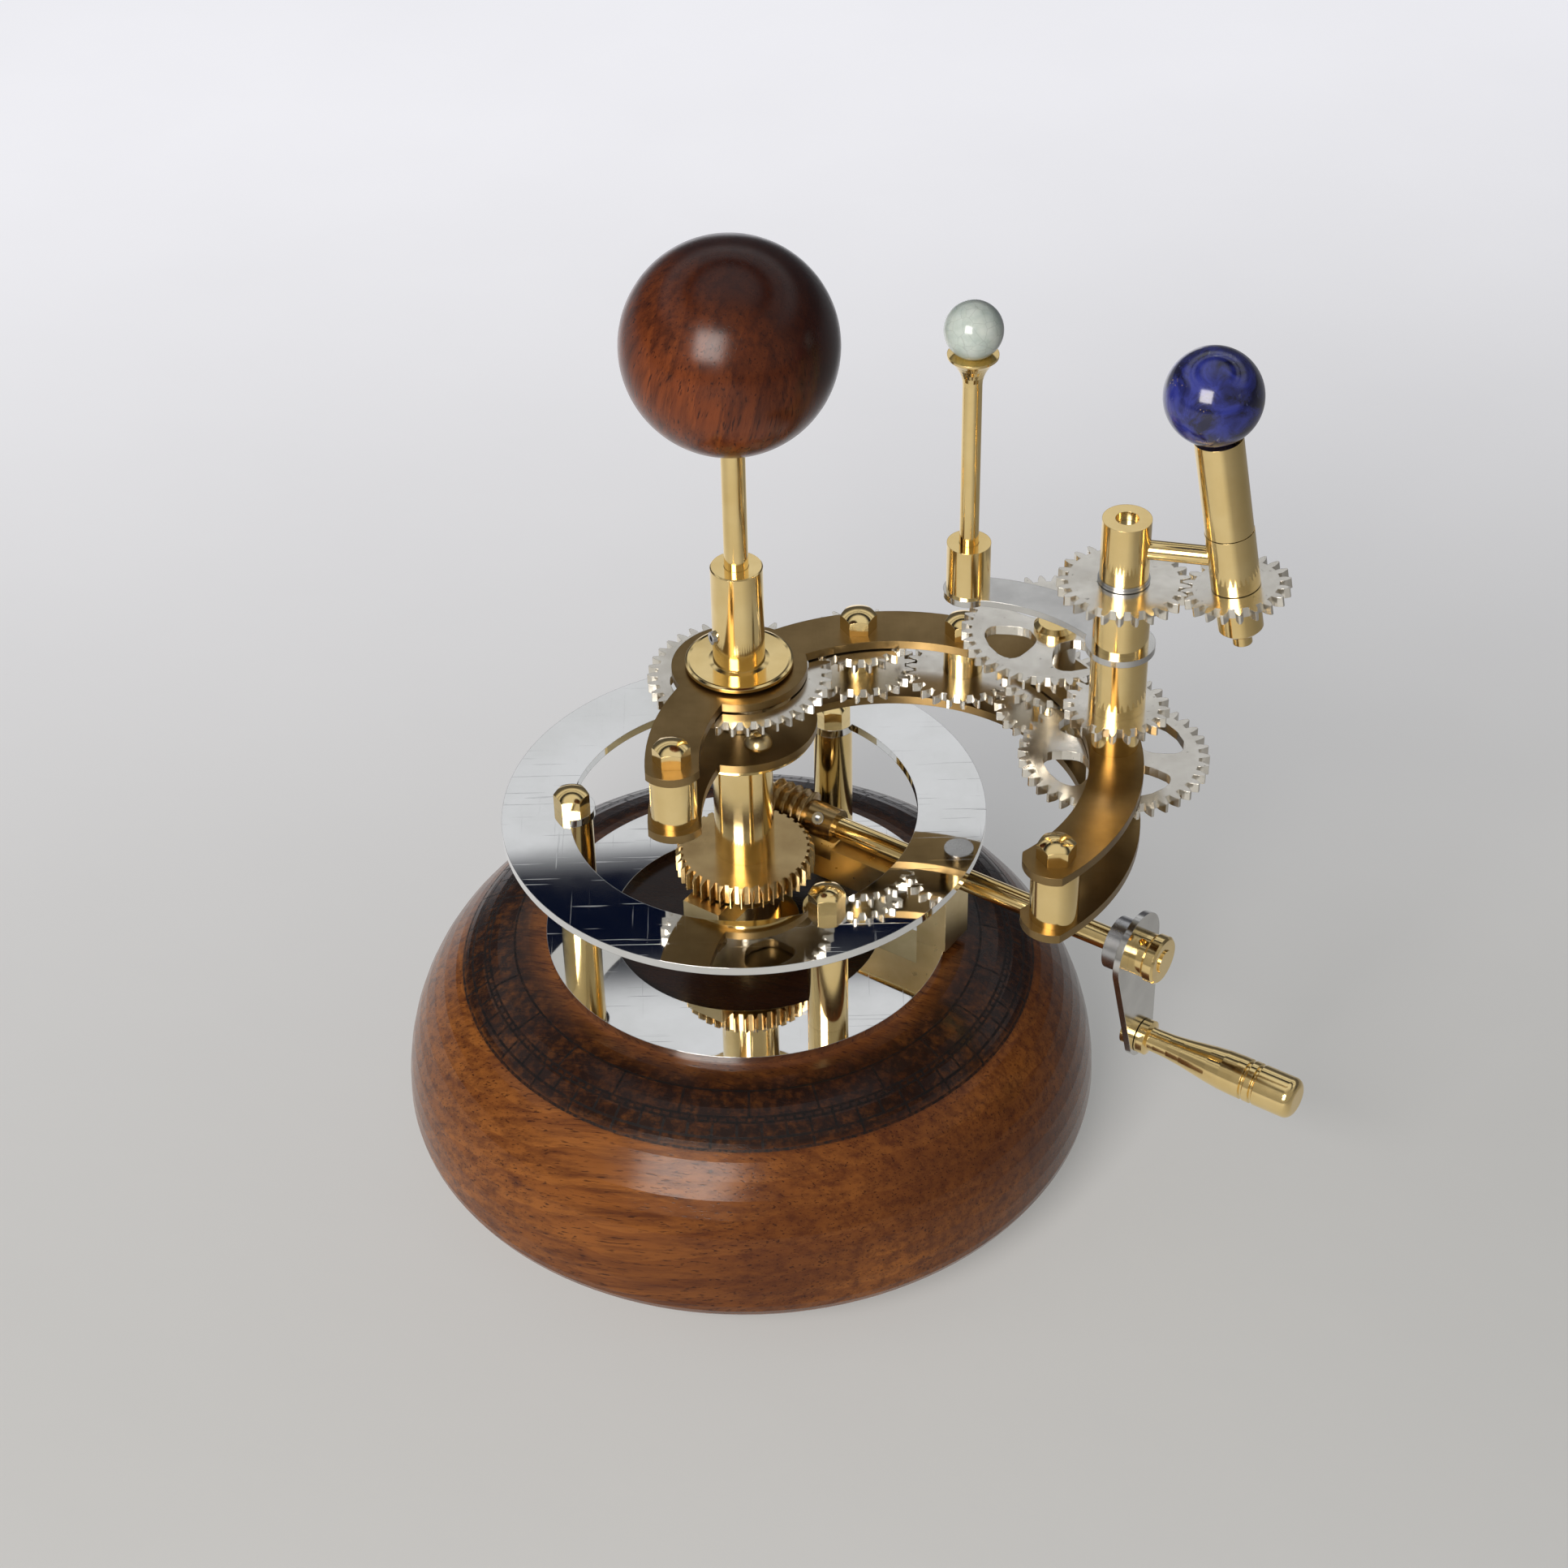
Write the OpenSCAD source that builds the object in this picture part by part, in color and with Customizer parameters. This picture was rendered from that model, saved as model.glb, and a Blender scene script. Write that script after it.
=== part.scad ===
// Hand-cranked orrery: a worm turns a curved arm round the Sun, and two gear trains on the
// arm keep the Earth's axis pointing one way, spin the Earth and carry the Moon round it.
// Millimetres. The origin is the middle of the base's underside, +Z is up, and the crank
// shaft runs out to the front right.

/* [Base] */
// Height of the wooden base
base_h = 56; // [50:1:70]
// Widest radius of the base
base_r = 80.6; // [76:0.2:86]
// Flat wood left between the lower ring and the round-over
base_rim = 0.3; // [0.2:0.1:2]
// Radius of the flat underside
base_foot_r = 36; // [28:0.5:48]
// Height of the widest point above the table
base_belly_z = 15.8; // [12:0.2:22]

/* [Stand] */
// Thickness of the two polished steel rings
ring_t = 2; // [1.5:0.1:3]
// Inner radius of the ring that lies on the base
lower_ring_in_r = 31; // [30.5:0.1:32]
// Outer radius of the ring that lies on the base
lower_ring_r = 46.1; // [44.5:0.1:50]
// Inner radius of the raised ring
upper_ring_in_r = 38.9; // [37:0.1:40]
// Outer radius of the raised ring
upper_ring_r = 54.1; // [50:0.1:58]
// Number of pillars
pillar_count = 3; // [3:1:3]
// Radius of the circle that the pillars stand on
pillar_circle_r = 38.5; // [37.5:0.1:40]
// Direction of the first pillar in degrees
pillar_turn = 57.5; // [50:0.5:60]
// Radius of a pillar
pillar_r = 4.5; // [3.5:0.1:5]
// Length of a pillar between the rings
pillar_h = 31.2; // [29:0.1:36]
// Radius of the rounded ear round each pillar's stud
ear_r = 5.2; // [4.5:0.1:6]
// Radius of the stud on a pillar
pillar_stud_r = 2; // [1.5:0.1:2.5]

/* [Arbor and sleeve] */
// Radius of the fixed central arbor
arbor_r = 4; // [3:0.1:4.3]
// Radius of the arbor's foot on the wood
arbor_foot_r = 12; // [9:0.5:13]
// Thickness of the arbor's foot
arbor_foot_h = 3; // [2:0.5:5]
// Radius of the arbor's collar under the bridge
arbor_collar_r = 7.9; // [6:0.1:9]
// Height of the flanged sleeve above the upper arm plate
sleeve_h = 25.6; // [20:0.2:30]
// Radius of the flanged sleeve
sleeve_r = 5.65; // [5.1:0.05:6.5]
// Radius of the sleeve's flange
flange_r = 11.7; // [9:0.1:14]
// Thickness of the sleeve's flange
flange_t = 1.25; // [1:0.05:2]
// Radius of the low boss under the flange
flange_boss_r = 8; // [6:0.1:9]
// Thickness of the sleeve's top, which closes round the Sun's post
sleeve_lip = 2; // [1:0.5:4]
// Height of the sleeve's set screw above the flange
sleeve_screw_z = 8.7; // [6:0.1:11]
// Amount by which the sleeve's set screw stands out
sleeve_screw_out = 0.8; // [0.1:0.1:1.5]
// Direction of the sleeve's set screw in degrees
sleeve_screw_turn = 205; // [180:1:260]

/* [Sun] */
// Radius of the Sun
sun_r = 22.5; // [18:0.5:25]
// Radius of the Sun's post
sun_post_r = 2.6; // [2:0.1:3]
// Length of the post seen between the sleeve and the Sun
sun_post_gap = 31; // [26:0.5:40]
// Depth to which the post enters the Sun and the arbor
sun_post_seat = 8; // [5:0.5:12]

/* [Worm drive] */
// Number of teeth on the worm wheel
wheel_teeth = 40; // [38:1:42]
// Tooth module of the worm and its wheel
wheel_module = 0.75; // [0.74:0.01:0.77]
// Thickness of the worm wheel
wheel_t = 5.2; // [4:0.1:5.6]
// Height of the crank shaft above the lower ring
shaft_h = 19.2; // [18.4:0.1:20]
// Direction from the central arbor to the worm in degrees
worm_turn = 55; // [52:0.5:58]
// Pitch radius of the worm
worm_pitch_r = 5; // [4.9:0.05:5.3]
// Length of the threaded part of the worm
worm_thread_len = 10.6; // [8.5:0.1:12]
// Part of the thread that lies beyond the wheel's centre line, towards the crank
worm_thread_out = 4.6; // [4:0.1:5.2]
// Radius of the worm's plain hub
worm_hub_r = 4; // [3.5:0.1:4.1]
// Length of the worm's plain hub
worm_hub_len = 7.4; // [6:0.1:8]
// Radius of the crank shaft
shaft_r = 2.6; // [2.2:0.1:2.8]
// Width of the bracket's rail and bearing blocks
rail_w = 9.6; // [8.6:0.1:10.4]
// Height of the bracket's rail and bridge
rail_h = 6; // [5:0.1:7]
// Thickness of each bearing block along the shaft
block_t = 7.6; // [6:0.1:8]
// Distance from the worm to the outer face of the outer bearing block
outer_block_x = 44; // [42:0.5:46]
// Distance from the worm to the outer face of the inner bearing block
inner_block_x = 17.4; // [17:0.1:17.6]
// Wall of a bearing block above the shaft
block_wall = 2.8; // [2:0.1:4]
// Reach of the bridge past the central arbor
bridge_reach = 17.6; // [12:0.2:20]

/* [Crank] */
// Distance from the worm to the crank shaft's free end
shaft_end_x = 97; // [96:0.5:100]
// Distance from the worm to the lever's inner face
lever_x = 89; // [88:0.5:90]
// Thickness of the lever
lever_t = 1.5; // [1.2:0.1:2]
// Distance between the shaft and the handle's bolt
crank_r = 28; // [24:0.5:29]
// Angle of the lever from straight down at rest
crank_lean = 8.2; // [0:0.1:20]
// Radius of the lever's large end
lever_hub_r = 9; // [7:0.2:10]
// Radius of the lever's small end
lever_tip_r = 5; // [4:0.2:6]
// Radius of the steel collar behind the lever
crank_collar_r = 6; // [5:0.1:7]
// Length of the steel collar behind the lever
crank_collar_len = 4.5; // [3:0.1:6]
// Radius of the brass hub in front of the lever
crank_hub_r = 5; // [4:0.1:6]
// Radius of the handle's bolt
bolt_r = 1.5; // [1.2:0.1:1.8]
// Radius of the bolt's head
bolt_head_r = 3.2; // [2.6:0.1:4]
// Height of the bolt's head
bolt_head_h = 2.4; // [1.5:0.1:3]
// Length of the handle
handle_len = 38.6; // [30:0.2:42]
// Radius of the handle's thick end
handle_r = 4.7; // [4:0.1:4.9]
// Radius of the handle's slim end
handle_neck_r = 2.7; // [2.5:0.1:3.2]
// Radius of the handle's collar next to the lever
handle_collar_r = 4; // [3.2:0.1:4.4]

/* [Column and arm] */
// Radius of the turning tube round the arbor
column_r = 6.7; // [6:0.1:7.2]
// Distance from the worm wheel to the lower arm plate
column_h = 34.1; // [33:0.1:40]
// Radius of the collar at the tube's top
column_collar_r = 7.4; // [7.2:0.1:8]
// Height of the collar at the tube's top
column_collar_h = 4.6; // [4:0.2:8]
// Radius of the flange under the lower arm plate
column_flange_r = 16; // [12.8:0.2:16.4]
// Thickness of the flange under the lower arm plate
column_flange_t = 1.2; // [1:0.1:2.4]
// Radius of the circle that both arm plates follow
arm_r = 46.2; // [45:0.1:48]
// Direction of that circle's centre from the arbor in degrees
arm_turn = -46.1; // [-50:0.1:-42]
// Width of the arm plates
arm_w = 11.3; // [10:0.1:13]
// Thickness of the arm plates
arm_t = 2; // [1.6:0.1:2.4]
// Gap between the arm plates
arm_gap = 13; // [12.4:0.1:14]
// Radius of the upper plate's disc round the arbor
upper_disc_r = 14.7; // [13:0.1:16]
// Radius of the lower plate's disc round the arbor
lower_disc_r = 16.7; // [15:0.1:18]
// Distance from the central arbor to the left end post
left_post_d = 36.2; // [34:0.2:38]
// Distance from the Earth's column to the right end post
right_post_d = 39.6; // [37:0.2:41]
// Radius of the rounded plate ends round the end posts
arm_tip = 6.8; // [6.2:0.1:8]
// Radius of the studs that clamp the plates
stud_r = 2; // [1.5:0.1:2.1]
// Radius of the spacers at the plate ends
spacer_r = 5; // [4:0.1:5.4]
// Width of a nut across its flats
nut_w = 7; // [6.5:0.1:8]
// Height of a nut
nut_h = 4.6; // [4:0.1:5.2]
// Radius of a nut's crowned top
nut_crown_r = 7; // [6:0.5:9]
// Radius of the screw heads on the lower arm plate
plate_screw_r = 3.1; // [2.6:0.1:3.3]
// Height of the screw heads on the lower arm plate
plate_screw_h = 2.4; // [1.8:0.1:2.6]
// Radius of the circle that the plate screws stand on
plate_screw_circle_r = 9.2; // [9:0.1:9.6]
// Direction of the first plate screw in degrees
plate_screw_turn = -66; // [-90:1:-40]

/* [Gears] */
// Tooth module of the gear trains
gear_module = 1; // [0.98:0.01:1.02]
// Thickness of the gears
gear_t = 2.2; // [1.8:0.1:2.4]
// Amount by which each gear tooth is thinned for a free mesh
backlash = 0.2; // [0.15:0.01:0.28]
// Teeth on the fixed gear, on the turning gear under the Earth and on the Moon's drive gear
big_teeth = 38; // [37:1:38]
// Teeth on the small gears
small_teeth = 20; // [20:1:21]
// Teeth on the three gears of the lower level
low_teeth = 23; // [22:1:23]
// Teeth on the gear that spins the Earth's pinion
earth_drive_teeth = 25; // [24:1:25]
// Teeth on the Earth's pinion
earth_teeth = 20; // [19:1:20]
// Gap between the upper gears and the upper arm plate
gear_top_gap = 0.35; // [0.3:0.01:0.6]
// Gap between the lower gears and the lower arm plate
gear_low_gap = 3.45; // [3:0.05:4]
// Radius of the turning hubs of the idlers
idler_hub_r = 4.3; // [4:0.1:5]
// Radius of the fixed bushes inside the first two idlers
bush_r = 3.1; // [2.9:0.1:3.4]
// Radius of the third idler's arbor
idler_arbor_r = 2.5; // [2:0.1:3]
// Radius of the big gears' hubs
big_hub_r = 5.6; // [5:0.1:5.8]
// Width of the rim between a big gear's windows and its teeth
window_rim = 2.3; // [1.8:0.1:4]
// Half of the angle that one of a big gear's four windows takes, in degrees
window_half = 29; // [20:1:34]
// Direction of the first window of the fixed gear and of the gear under the Earth
window_turn = 25; // [0:1:89]
// Direction of the first window of the Moon's drive gear
drive_window_turn = 21; // [0:1:89]
// Height of the Moon's drive gear above the upper arm plate
moon_drive_z = 8.05; // [7.8:0.05:8.6]

/* [Earth column] */
// Radius of the carrier's arbor
carrier_r = 2.3; // [2:0.1:2.6]
// Radius of the fixed collar on the upper arm plate
base_collar_r = 5; // [4:0.1:6]
// Length of the lower sleeve, between the Moon's pinion and its arm
low_sleeve_h = 14.5; // [12:0.1:18]
// Radius of the lower sleeve
low_sleeve_r = 5.9; // [5:0.1:6.4]
// Length of the upper sleeve, between the Moon's arm and the Earth's drive gear
up_sleeve_h = 13.1; // [12.4:0.1:16]
// Radius of the upper sleeve
up_sleeve_r = 5.8; // [5:0.1:6.3]
// Thickness of the two washers on the drive gear
washer_t = 0.55; // [0.4:0.05:0.8]
// Radius of the top collar
top_collar_r = 5; // [4.4:0.1:5.6]
// Length of the top collar
top_collar_h = 13.5; // [11:0.1:15]
// Height of the Earth's rod above the top collar's lower face
rod_z = 6.6; // [6:0.1:7.6]
// Radius of the Earth's rod
rod_r = 2; // [1.6:0.1:2.2]

/* [Earth] */
// Tilt of the Earth's axis in degrees
earth_tilt = 9.5; // [8:0.5:11]
// Direction of the Earth's rod at rest in degrees
earth_turn = -12.6; // [-30:0.2:30]
// Clearance added between the Earth's pinion and its drive gear
earth_mesh_gap = 0.15; // [0.1:0.01:0.25]
// Radius of the socket and of the spinning tube
socket_r = 5; // [4.4:0.1:5.4]
// Length of the socket that the rod carries
socket_h = 12.7; // [11:0.1:14]
// Length of the spinning tube under the Earth
spin_tube_h = 21.1; // [18:0.1:24]
// Radius of the spinning shaft
spin_r = 2; // [1.6:0.1:2.4]
// Radius of the boss under the pinion
boss_r = 4.6; // [4:0.1:5]
// Length of the boss under the pinion
boss_h = 8.6; // [6:0.1:9]
// Length of the shaft that shows under the boss
spin_tip = 3.1; // [2:0.1:3.6]
// Radius of the Earth
earth_r = 9.8; // [8:0.2:11]

/* [Moon] */
// Distance from the Earth's column to the Moon's post
moon_arm_len = 36; // [36:0.1:39]
// Direction of the Moon's arm at rest in degrees
moon_turn = 146; // [120:1:170]
// Bow of the Moon's arm away from a straight line
moon_arm_bow = 4.6; // [3:0.1:6]
// Width of the Moon's arm
moon_arm_w = 8.6; // [7:0.1:9.4]
// Thickness of the Moon's arm
moon_arm_t = 1.5; // [1.2:0.1:2]
// Radius of the Moon arm's eye round the column
moon_eye_r = 7.2; // [6.8:0.1:8]
// Radius of the collar at the foot of the Moon's post
moon_collar_r = 4.6; // [4:0.1:5]
// Height of the collar at the foot of the Moon's post
moon_collar_h = 11.5; // [9:0.1:12.5]
// Radius of the Moon's post
moon_post_r = 2; // [1.5:0.1:2.1]
// Height of the cup's rim above the Moon's arm
moon_cup_z = 56.4; // [50:0.2:62]
// Height of the flared cup
moon_cup_h = 7; // [5:0.2:9]
// Radius of the cup's rim
moon_cup_r = 5.2; // [4:0.1:5.6]
// Depth to which the Moon sits in the cup
moon_seat = 0.6; // [0.4:0.05:1]
// Radius of the Moon
moon_r = 6; // [5:0.1:6.4]

/* [Fits] */
// Radial clearance of a shaft in its bore
run_gap = 0.05; // [0.03:0.01:0.08]
// Clearance between the ends of pieces that turn against each other
end_gap = 0.15; // [0.1:0.01:0.3]
// Radius of the small set screws
grub_r = 1.5; // [1.2:0.1:1.6]

/* [Hidden] */
$fn = 96;

pressure_angle = 20;
profile_steps = 14;
brass = [0.80, 0.66, 0.38];
bronze = [0.62, 0.50, 0.30];
steel = [0.80, 0.80, 0.80];
nickel = [0.76, 0.75, 0.72];

// Heights of the stand
base_top_r = lower_ring_r + base_rim;
lower_ring_z = base_h;
stand_z = lower_ring_z + ring_t;
upper_ring_z = stand_z + pillar_h;
upper_ring_top = upper_ring_z + ring_t;

// Heights of the worm drive and the arm
shaft_z = stand_z + shaft_h;
wheel_z = shaft_z - wheel_t / 2;
wheel_hub_t = 0.3;
bridge_top = wheel_z - wheel_hub_t - end_gap;
bridge_z = bridge_top - rail_h;
wheel_top = wheel_z + wheel_t;
lower_arm_z = wheel_top + column_h;
lower_arm_top = lower_arm_z + arm_t;
upper_arm_z = lower_arm_top + arm_gap;
upper_arm_top = upper_arm_z + arm_t;
low_gear_z = lower_arm_top + gear_low_gap;
high_gear_z = upper_arm_z - gear_top_gap - gear_t;

// Heights of the sleeve and the Sun
flange_z = upper_arm_top + end_gap;
flange_boss_t = 0.35;
sleeve_top = flange_z + sleeve_h;
arbor_top = sleeve_top - sleeve_lip;
sun_z = sleeve_top + sun_post_gap + sun_r;

// Worm and wheel
wheel_pitch_r = wheel_teeth * wheel_module / 2;
worm_offset = wheel_pitch_r + worm_pitch_r;
worm_lead = PI * wheel_module;
worm_tip_r = worm_pitch_r + 0.9 * wheel_module;
worm_root_r = worm_pitch_r - 1.2 * wheel_module;
thread_slack = 0.5;
thread_sides = 18;
thread_slices = 54;
wheel_slack = 0.32;
worm_in_x = worm_thread_out - worm_thread_len;
worm_out_x = worm_thread_out + worm_hub_len;
well_gap = 0.5;
rail_low_top = shaft_z - worm_tip_r - well_gap;
inner_block_in = inner_block_x - block_t;
outer_block_in = outer_block_x - block_t;
block_top = shaft_z + shaft_r + block_wall;

// Places along the arm, as angles on its circle and as points
function polar(r, a) = [r * cos(a), r * sin(a)];
function chord_angle(d) = 2 * asin(d / 2 / arm_r);
function on_arm(a) = polar(arm_r, arm_turn) + polar(arm_r, a);
function heading(p, q) = atan2(q[1] - p[1], q[0] - p[0]);
big_small_dist = gear_module * (big_teeth + small_teeth) / 2;
low_dist = gear_module * low_teeth;
axis_angle = arm_turn + 180;
idler_1_angle = axis_angle - chord_angle(big_small_dist);
idler_2_angle = idler_1_angle - chord_angle(low_dist);
idler_3_angle = idler_2_angle - chord_angle(low_dist);
column_angle = idler_3_angle - chord_angle(big_small_dist);
idler_1 = on_arm(idler_1_angle);
idler_2 = on_arm(idler_2_angle);
idler_3 = on_arm(idler_3_angle);
column = on_arm(column_angle);
left_post = axis_angle + chord_angle(left_post_d);
right_post = column_angle - chord_angle(right_post_d);
left_end = on_arm(left_post);
right_end = on_arm(right_post);
stud_points = [left_end, idler_1, idler_2, right_end];
tip_angle = 1.2 * chord_angle(arm_tip);

// Tooth phases that put every pair in mesh at rest
function mesh(p, q, phase, n1, n2) =
    let (a = heading(p, q)) a + 180 - (phase - a) * n1 / n2 + 180 / n2;
fixed_phase = 0;
idler_1_phase = mesh([0, 0], idler_1, fixed_phase, big_teeth, small_teeth);
idler_2_phase = mesh(idler_1, idler_2, 0, low_teeth, low_teeth);
idler_3_phase = mesh(idler_2, idler_3, idler_2_phase, low_teeth, low_teeth);
carrier_phase = mesh(idler_3, column, 0, small_teeth, big_teeth);
moon_pinion_phase = mesh(idler_3, column, 0, big_teeth, small_teeth);
earth_phase = 180 + 180 / earth_teeth;

// Heights of the Earth's column
moon_drive_bottom = upper_arm_top + moon_drive_z;
pinion_top = moon_drive_bottom + gear_t;
moon_arm_z = pinion_top + low_sleeve_h;
moon_arm_top = moon_arm_z + moon_arm_t;
drive_z = moon_arm_top + up_sleeve_h;
drive_top = drive_z + gear_t;
top_collar_z = drive_top + end_gap + 2 * washer_t;
top_collar_top = top_collar_z + top_collar_h;
rod_height = top_collar_z + rod_z;
carrier_top = top_collar_top - 2;
arbor_bottom = lower_arm_z - 1.2;

// The Earth's tilted axis, which meets the drive gear's rim at the mesh point
drive_pitch_r = gear_module * earth_drive_teeth / 2;
earth_pitch_r = gear_module * earth_teeth / 2 + earth_mesh_gap;
pinion_x = drive_pitch_r + earth_pitch_r * cos(earth_tilt);
pinion_z = drive_z + gear_t / 2 + earth_pitch_r * sin(earth_tilt);
socket_z = gear_t / 2 + end_gap;
spin_tube_z = socket_z + socket_h + end_gap;
earth_ball_z = spin_tube_z + spin_tube_h + earth_r - 0.4;
socket_rod_s = (rod_height - pinion_z) / cos(earth_tilt);

// The Moon's arm is a band of a circle through the column and the post
moon_bow_r = (moon_arm_len * moon_arm_len / 4 + moon_arm_bow * moon_arm_bow) / (2 * moon_arm_bow);
moon_bow_angle = asin(moon_arm_len / 2 / moon_bow_r);
moon_point = polar(moon_arm_len, moon_turn);
moon_rim_z = moon_arm_top + moon_cup_z;
moon_z = moon_rim_z - moon_seat + moon_r;

// Gear outlines

function involute(r, base) = r > base ? tan(acos(base / r)) * 180 / PI - acos(base / r) : 0;
function tooth_half(r, pitch, m, slack) =
    (PI * m / 2 - slack) / (2 * pitch) * 180 / PI
    + involute(pitch, pitch * cos(pressure_angle)) - involute(r, pitch * cos(pressure_angle));
function flank(n, m) =
    let (pitch = n * m / 2) [pitch - 1.25 * m, pitch - 0.6 * m, pitch, pitch + m];
function gear_points(n, m, slack, phase) =
    let (pitch = n * m / 2, radii = flank(n, m), last = len(radii) - 1)
    [for (k = [0 : n - 1]) each [
        for (i = [0 : last])
            polar(radii[i], phase + k * 360 / n - tooth_half(radii[i], pitch, m, slack)),
        for (i = [last : -1 : 0])
            polar(radii[i], phase + k * 360 / n + tooth_half(radii[i], pitch, m, slack))]];

module toothed_disc(teeth, phase) {
    linear_extrude(gear_t)
        polygon(gear_points(teeth, gear_module, backlash, phase));
}

function soft(v) = sign(v) * pow(abs(v), 0.6);
function window_points(inner, outer, middle) =
    [for (t = [0 : 15 : 345])
        polar((inner + outer) / 2 + (outer - inner) / 2 * soft(sin(t)),
            middle + window_half * soft(cos(t)))];

// Big gear with four rounded windows round a hub
module spoked_gear(phase, bore, hub, turn) {
    outer = gear_module * (big_teeth / 2 - 1.25) - window_rim;
    difference() {
        toothed_disc(big_teeth, phase);
        for (k = [0 : 3])
            translate([0, 0, -1])
                linear_extrude(gear_t + 2)
                    polygon(window_points(hub + 0.5, outer, turn + 90 * k));
        translate([0, 0, -1])
            cylinder(r = bore, h = gear_t + 2);
    }
}

// Shared shapes

module at(p, z = 0) {
    translate([p[0], p[1], z])
        children();
}

module tube(outer, inner, h) {
    difference() {
        cylinder(r = outer, h = h);
        translate([0, 0, -1])
            cylinder(r = inner, h = h + 2);
    }
}

module on_pillars(z) {
    for (k = [0 : pillar_count - 1])
        at(polar(pillar_circle_r, pillar_turn + k * 360 / pillar_count), z)
            children();
}

// Frame whose x runs along the crank shaft and whose z stays up
module beside_shaft() {
    at(polar(worm_offset, worm_turn))
        rotate([0, 0, worm_turn - 90])
            children();
}

// Frame whose z runs along the crank shaft and whose x points down
module on_shaft(distance = 0) {
    beside_shaft()
        translate([distance, 0, shaft_z])
            rotate([0, 90, 0])
                children();
}

// Frame on the handle's bolt, with z along the bolt
module on_bolt(distance = 0) {
    on_shaft(distance)
        rotate([0, 0, crank_lean])
            translate([crank_r, 0, 0])
                children();
}

// Frame of the Earth's tilted axis, with its origin in the middle of the pinion
module on_earth_axis(s = 0) {
    at(column)
        rotate([0, 0, earth_turn])
            translate([pinion_x, 0, pinion_z])
                rotate([0, -earth_tilt, 0])
                    translate([0, 0, s])
                        children();
}

// Hexagonal nut with a crowned top and a blind hole
module crown_nut(bore) {
    difference() {
        intersection() {
            cylinder(r = nut_w / 2 / cos(30), h = nut_h, $fn = 6);
            translate([0, 0, nut_h - nut_crown_r])
                sphere(r = nut_crown_r);
        }
        translate([0, 0, -1])
            cylinder(r = bore, h = nut_h / 2 + 1.3);
    }
}

module grub_screw(len) {
    difference() {
        cylinder(r = grub_r - run_gap, h = len);
        translate([0, 0, len - 1])
            cylinder(r = grub_r / 2, h = 2, $fn = 6);
    }
}

// Stand

function quarter(cx, cz, a, b, from, to) =
    [for (i = [0 : profile_steps])
        let (t = from + (to - from) * i / profile_steps) [cx + a * cos(t), cz + b * sin(t)]];

module wood_base() {
    color([0.47, 0.24, 0.12])
        rotate_extrude()
            polygon(concat([[0, 0]],
                quarter(base_foot_r, base_belly_z, base_r - base_foot_r, base_belly_z, -90, 0),
                quarter(base_top_r, base_belly_z, base_r - base_top_r, base_h - base_belly_z, 0, 90),
                [[0, base_h]]));
}

module lower_ring() {
    color(steel)
        translate([0, 0, lower_ring_z])
            tube(lower_ring_r, lower_ring_in_r, ring_t);
}

module pillars() {
    color(brass)
        on_pillars(stand_z) {
            cylinder(r = pillar_r, h = pillar_h);
            cylinder(r = pillar_stud_r, h = pillar_h + ring_t + nut_h / 2);
        }
}

module upper_ring() {
    color(steel)
        difference() {
            union() {
                translate([0, 0, upper_ring_z])
                    tube(upper_ring_r, upper_ring_in_r, ring_t);
                on_pillars(upper_ring_z)
                    cylinder(r = ear_r, h = ring_t);
            }
            on_pillars(upper_ring_z - 1)
                cylinder(r = pillar_stud_r + run_gap, h = ring_t + 2);
        }
}

module pillar_nuts() {
    color(brass)
        on_pillars(upper_ring_top)
            crown_nut(pillar_stud_r + run_gap);
}

// Arbor, fixed gear and sleeve

module central_arbor() {
    color(brass)
        difference() {
            union() {
                translate([0, 0, base_h])
                    cylinder(r = arbor_foot_r, h = arbor_foot_h);
                translate([0, 0, base_h])
                    cylinder(r = arbor_r, h = arbor_top - base_h);
                translate([0, 0, base_h])
                    cylinder(r = arbor_collar_r, h = bridge_z - base_h);
            }
            translate([0, 0, arbor_top - sun_post_seat])
                cylinder(r = sun_post_r + run_gap, h = sun_post_seat + 1);
        }
}

module fixed_gear() {
    color(nickel)
        union() {
            translate([0, 0, high_gear_z])
                spoked_gear(fixed_phase, arbor_r + run_gap, big_hub_r, window_turn);
            translate([0, 0, lower_arm_top + end_gap])
                tube(big_hub_r, arbor_r + run_gap, high_gear_z - lower_arm_top - end_gap);
        }
}

module flanged_sleeve() {
    bore = arbor_r + run_gap;
    lip_r = sun_post_r + run_gap;
    rim = 0.5;
    top = flange_boss_t + flange_t;
    color(brass)
        difference() {
            translate([0, 0, flange_z])
                rotate_extrude()
                    polygon([[bore, 0], [flange_boss_r, 0], [flange_boss_r, flange_boss_t],
                        [flange_r - rim, flange_boss_t], [flange_r, flange_boss_t + rim / 2],
                        [flange_r, top - rim / 2], [flange_r - rim, top],
                        [flange_r - 2 * rim, top - rim / 4], [sleeve_r + 2 * rim, top - rim / 2],
                        [sleeve_r, top], [sleeve_r, sleeve_h - rim / 2],
                        [sleeve_r - rim / 2, sleeve_h], [lip_r, sleeve_h],
                        [lip_r, sleeve_h - sleeve_lip], [bore, sleeve_h - sleeve_lip]]);
            translate([0, 0, flange_z + sleeve_screw_z])
                rotate([0, 90, sleeve_screw_turn])
                    cylinder(r = grub_r, h = sleeve_r + 2);
        }
}

module sleeve_screw() {
    start = arbor_r + run_gap;
    color(steel)
        translate([0, 0, flange_z + sleeve_screw_z])
            rotate([0, 90, sleeve_screw_turn])
                translate([0, 0, start])
                    grub_screw(sleeve_r - start + sleeve_screw_out);
}

module sun_post() {
    foot = arbor_top - sun_post_seat;
    color(brass)
        translate([0, 0, foot])
            cylinder(r = sun_post_r, h = sun_z - sun_r + sun_post_seat - foot);
}

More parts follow.
